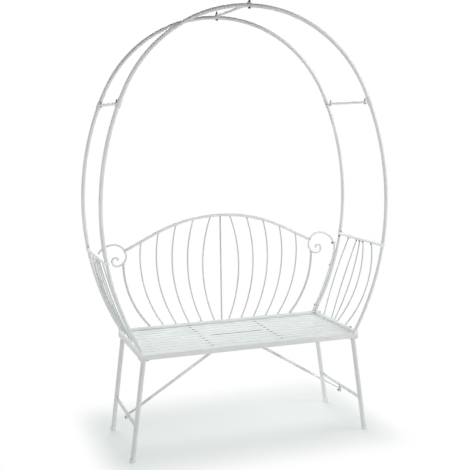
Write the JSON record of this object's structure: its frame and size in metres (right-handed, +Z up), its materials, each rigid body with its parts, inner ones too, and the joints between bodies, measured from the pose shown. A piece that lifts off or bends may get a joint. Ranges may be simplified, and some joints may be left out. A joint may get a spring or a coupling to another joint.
{
  "type": "arbour seat",
  "caption": "Slatted steel garden bench with bowed arms and a curved scroll-ended back, under a tall round double arch.",
  "frame": {"origin": "on the floor under the middle of the seat", "axes": "+X along the seat towards the right-hand arm as seen from in front, +Y from the front to the back, +Z up"},
  "size_m": [1.2472, 0.435, 1.8343],
  "materials": {
    "powder_coat": "satin white powder coat",
    "dark_steel": "blackened steel",
    "foot_plastic": "matt moulded"
  },
  "bodies": {
    "root": {"apex_tie": "powder_coat", "arch_bolts": "dark_steel", "arch_front_left_side_tube": "powder_coat", "arch_front_left_top_tube": "powder_coat", "arch_front_right_side_tube": "powder_coat", "arch_front_right_top_tube": "powder_coat", "arch_rear_left_side_tube": "powder_coat", "arch_rear_left_top_tube": "powder_coat", "arch_rear_right_side_tube": "powder_coat", "arch_rear_right_top_tube": "powder_coat", "arch_sockets": "powder_coat", "arch_spigots": "powder_coat", "arm_bolts": "dark_steel", "back_bolts": "dark_steel", "back_bottom_rail": "powder_coat", "back_end_rods": "powder_coat", "back_rods": "powder_coat", "back_spacers": "powder_coat", "back_top_rail": "powder_coat", "brace_bolts": "dark_steel", "brace_bracket": "powder_coat", "brace_tabs": "powder_coat", "foot_caps": "foot_plastic", "hex_nuts": "dark_steel", "left_arm_bar": "powder_coat", "left_arm_base_bar": "powder_coat", "left_arm_front_post": "powder_coat", "left_arm_rear_post": "powder_coat", "left_arm_rods": "powder_coat", "left_brace": "powder_coat", "left_front_leg": "powder_coat", "left_rear_leg": "powder_coat", "left_scroll": "powder_coat", "left_shoulder_tie": "powder_coat", "left_stretcher": "powder_coat", "leg_plates": "powder_coat", "leg_screws": "dark_steel", "right_arm_bar": "powder_coat", "right_arm_base_bar": "powder_coat", "right_arm_front_post": "powder_coat", "right_arm_rear_post": "powder_coat", "right_arm_rods": "powder_coat", "right_brace": "powder_coat", "right_front_leg": "powder_coat", "right_rear_leg": "powder_coat", "right_scroll": "powder_coat", "right_shoulder_tie": "powder_coat", "right_stretcher": "powder_coat", "seat_front_rail": "powder_coat", "seat_left_cross_bar": "powder_coat", "seat_left_rail": "powder_coat", "seat_rear_rail": "powder_coat", "seat_right_cross_bar": "powder_coat", "seat_right_rail": "powder_coat", "seat_slats": "powder_coat", "spigot_screws": "dark_steel"}
  },
  "joints": []
}
